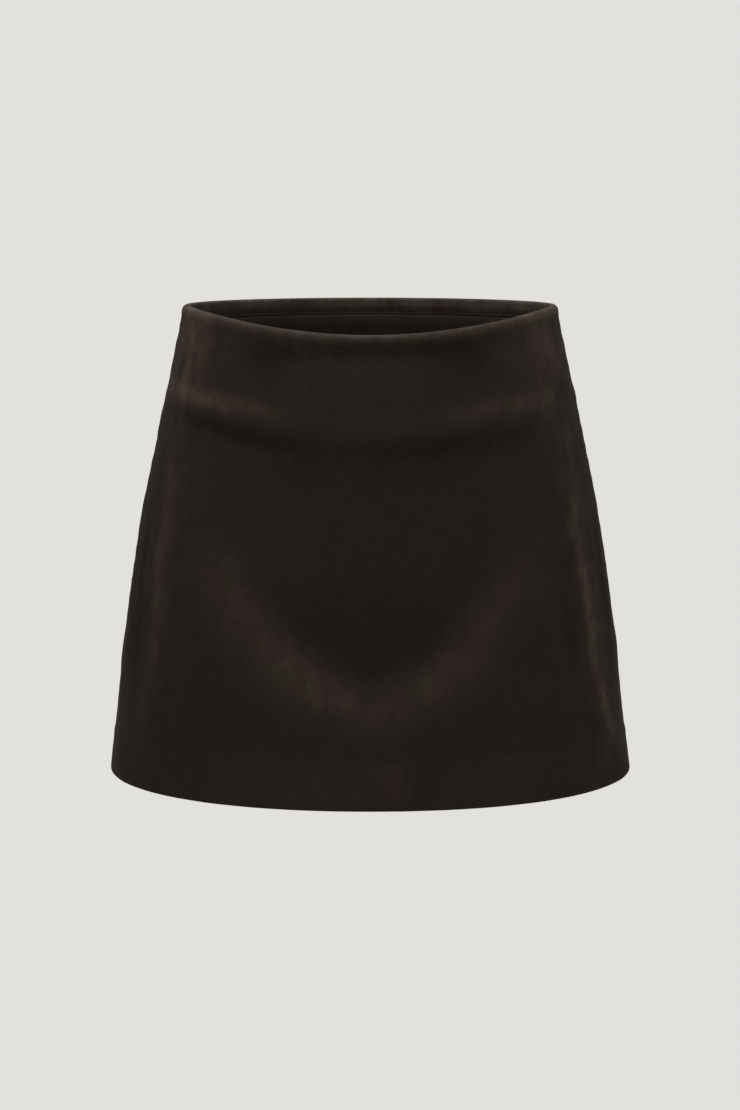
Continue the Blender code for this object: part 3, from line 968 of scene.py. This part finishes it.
def suede_material(name, dark, light, tan):
    """Short brushed nap: cloudy tones, smudges, and fine fibres that catch the light at a low angle. Its
    colour also carries painted highlights and painted shade.
    """
    made = Nodes(name)
    places = made.add("ShaderNodeTexCoord").outputs["Object"]
    # This attribute carries the painted highlights and painted shade, together with brushed nap.
    nap = made.add("ShaderNodeAttribute", attribute_name="nap").outputs["Fac"]
    clouds = made.noise(places, scale=14.0, detail=3.0, roughness=0.55, upright=0.8)
    smudges = made.noise(places, scale=72.0, detail=6.0, roughness=0.72, upright=0.55)
    hues = made.noise(places, scale=44.0, detail=2.0, roughness=0.50, upright=0.6)
    grain = made.noise(places, scale=520.0, detail=3.0, roughness=0.60, upright=0.6)
    fibres = made.noise(places, scale=1900.0, detail=2.0, roughness=0.55, upright=0.4)
    worn = made.add("ShaderNodeAttribute", attribute_name="worn").outputs["Fac"]
    raised = made.weighted(0.06, ((made.math("MAXIMUM", nap, 0.0), 0.0, 2.4), (worn, 0.0, 0.36)))
    mottled = made.math("MULTIPLY", made.math("SUBTRACT", smudges, 0.5), raised)
    tone = made.weighted(
        0.115,
        (
            (clouds, 0.5, 0.12),
            (mottled, 0.0, 1.0),
            (grain, 0.5, 0.16),
            (fibres, 0.5, 0.14),
            (nap, 0.0, 1.0),
        ),
    )
    # The light colour leans tan in random patches and where the tone is lighter, which makes the painted
    # highlights tan.
    tan_share = made.weighted(0.12, ((hues, 0.5, 2.4), (tone, 0.30, 2.2)))
    made.link(made.blend(tone, dark, made.blend(tan_share, light, tan)), made.shader.inputs["Base Color"])
    rough = made.weighted(0.88, ((smudges, 0.5, -0.16), (nap, 0.0, -0.10)))
    made.link(rough, made.shader.inputs["Roughness"])
    height = made.weighted(0.5, ((fibres, 0.5, 0.55), (grain, 0.5, 0.75)))
    made.bump(height, distance=0.00035, strength=0.55)
    made.set(Sheen_Weight=0.004, Sheen_Roughness=0.40, Specular_IOR_Level=0.04)
    made.shader.inputs["Sheen Tint"].default_value = linear(*SHEEN_TINT)
    return made.material


def knit_material(name, dark, light):
    """Smooth knit with fine upright ribs, whose colour also carries painted highlights and painted shade.
    """
    made = Nodes(name)
    places = made.add("ShaderNodeUVMap", uv_map="cloth").outputs["UV"]
    solid = made.add("ShaderNodeTexCoord").outputs["Object"]
    split = made.add("ShaderNodeSeparateXYZ")
    made.link(places, split.inputs[0])
    ribs = made.math("SINE", made.math("MULTIPLY", split.outputs["X"], 2 * math.pi / KNIT_RIB), 0.0)
    loops = made.math("SINE", made.math("MULTIPLY", split.outputs["Y"], 2 * math.pi / KNIT_LOOP), 0.0)
    knitted = made.math("MULTIPLY", made.math("ADD", made.math("MULTIPLY", loops, 0.35), 1.0), ribs)
    clouds = made.noise(solid, scale=22.0, detail=3.0, roughness=0.55, upright=0.8)
    fuzz = made.noise(solid, scale=1500.0, detail=2.0, roughness=0.5)
    # This attribute carries the knit's painted highlights and painted shade.
    nap = made.add("ShaderNodeAttribute", attribute_name="nap").outputs["Fac"]
    tone = made.weighted(
        0.45, ((clouds, 0.5, 0.75), (knitted, 0.0, 0.10), (fuzz, 0.5, 0.25), (nap, 0.0, 1.0))
    )
    made.link(made.blend(tone, dark, light), made.shader.inputs["Base Color"])
    height = made.weighted(0.5, ((knitted, 0.0, 0.22), (fuzz, 0.5, 0.30)))
    made.bump(height, distance=0.00020, strength=0.5)
    made.link(made.weighted(0.70, ((clouds, 0.5, 0.2),)), made.shader.inputs["Roughness"])
    made.set(Sheen_Weight=0.02, Sheen_Roughness=0.5, Specular_IOR_Level=0.12)
    return made.material


def thread_material(name, dark, light):
    """Twisted sewing thread."""
    made = Nodes(name)
    places = made.add("ShaderNodeTexCoord").outputs["Object"]
    twist = made.noise(places, scale=2600.0, detail=2.0, roughness=0.5)
    made.link(made.blend(twist, dark, light), made.shader.inputs["Base Color"])
    made.bump(twist, distance=0.00010, strength=0.5)
    made.set(Roughness=0.6, Sheen_Weight=0.1)
    return made.material


# ---------------------------------------------------------------- studio


def add_camera():
    """The photograph's view, from in front of the garment and a little above its top."""
    data = bpy.data.cameras.new("camera")
    data.sensor_width = SENSOR
    data.lens = SENSOR * FOCAL_PIXELS / IMAGE_HEIGHT
    camera = bpy.data.objects.new("camera", data)
    camera.location = (0.0, -CAMERA_BACK, CAMERA_UP)
    camera.rotation_euler = (math.radians(90 - CAMERA_PITCH), 0.0, 0.0)
    bpy.context.scene.collection.objects.link(camera)
    bpy.context.scene.camera = camera


SoftLight = namedtuple("SoftLight", "name place size power")
LIGHTS = (
    SoftLight("front_key", (-0.2, -0.9, 2.2), 1.5, 70.0),
    SoftLight("left_fill", (-1.8, -0.4, 1.4), 1.2, 16.0),
    SoftLight("right_fill", (1.8, -0.4, 1.4), 1.2, 16.0),
    SoftLight("back_key", (0.2, 1.0, 2.2), 1.5, 55.0),
)
LIT_POINT = (0.0, 0.0, -0.15)  # every light faces it


def add_lights():
    target = Vector(LIT_POINT)
    for row in LIGHTS:
        data = bpy.data.lights.new(row.name, "AREA")
        data.shape = "SQUARE"
        data.size = row.size
        data.energy = row.power
        light = bpy.data.objects.new(row.name, data)
        light.location = row.place
        light.rotation_euler = (target - Vector(row.place)).to_track_quat("-Z", "Y").to_euler()
        light.visible_camera = False
        bpy.context.scene.collection.objects.link(light)


def add_world():
    world = bpy.data.worlds.new("studio")
    world.use_nodes = True
    background = world.node_tree.nodes["Background"]
    background.inputs["Color"].default_value = linear(*BACKGROUND_SRGB)
    background.inputs["Strength"].default_value = 1.0
    bpy.context.scene.world = world
    bpy.context.scene.view_settings.view_transform = "Standard"
    bpy.context.scene.view_settings.look = "None"


def add_floor():
    """A pale round floor that fades into the background at its edge."""
    data = bpy.data.meshes.new("studio_floor")
    turns = np.linspace(0.0, 2 * math.pi, 96, endpoint=False)
    rim = [(FLOOR_RADIUS * math.cos(t), FLOOR_RADIUS * math.sin(t), 0.0) for t in turns]
    data.from_pydata(rim, [], [tuple(range(len(rim)))])
    made = Nodes("studio_floor")
    made.set(Base_Color=(0.42, 0.415, 0.40, 1.0), Roughness=0.9, Specular_IOR_Level=0.0)
    places = made.add("ShaderNodeTexCoord").outputs["Object"]
    distance = made.add("ShaderNodeVectorMath", operation="LENGTH")
    made.link(places, distance.inputs[0])
    fade = made.add("ShaderNodeMapRange", interpolation_type="SMOOTHSTEP")
    fade.inputs["From Min"].default_value = FLOOR_FADE[0]
    fade.inputs["From Max"].default_value = FLOOR_FADE[1]
    fade.inputs["To Min"].default_value = 0.0
    fade.inputs["To Max"].default_value = 1.0
    made.link(distance.outputs["Value"], fade.inputs["Value"])
    mix = made.add("ShaderNodeMixShader")
    clear = made.add("ShaderNodeBsdfTransparent")
    output = made.tree.nodes["Material Output"]
    made.link(fade.outputs["Result"], mix.inputs["Fac"])
    made.link(made.shader.outputs["BSDF"], mix.inputs[1])
    made.link(clear.outputs["BSDF"], mix.inputs[2])
    made.link(mix.outputs["Shader"], output.inputs["Surface"])
    data.materials.append(made.material)
    floor = bpy.data.objects.new("studio_floor", data)
    floor.location = (0.0, 0.0, -FLOOR_DEPTH)
    bpy.context.scene.collection.objects.link(floor)


# ---------------------------------------------------------------- the garment


def main():
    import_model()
    add_camera()
    add_world()
    add_lights()
    add_floor()
    suede = suede_material("suede", linear(*SUEDE_DARK), linear(*SUEDE_LIGHT), linear(*SUEDE_TAN))
    knit = knit_material("knit", linear(*KNIT_DARK), linear(*KNIT_LIGHT))
    thread = thread_material("thread", linear(*THREAD_DARK), linear(*THREAD_LIGHT))
    for half in (FRONT, BACK):
        name = half_name(half)
        panel = add_panel(half, suede)
        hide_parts(f"skirt_{name}")
        band = add_band(half, suede)
        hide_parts(f"waist_band_{name}")
    stitches = add_stitches(
        "casing_stitches", band_stitch_points(), lambda spots: -spots * (1.0, 1.0, 0.0), thread
    )
    for name, side in (("left", LEFT), ("right", RIGHT)):
        leg, loop = add_leg(f"{name}_leg", side, knit)
        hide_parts(f"shorts_{name}")
        middle = np.array([side * LEG_AXIS, 0.0, 0.0])
        hem = add_stitches(
            f"{name}_hem_stitches", loop, lambda spots, m=middle: (spots - m) * (1.0, 1.0, 0.0), thread
        )


main()
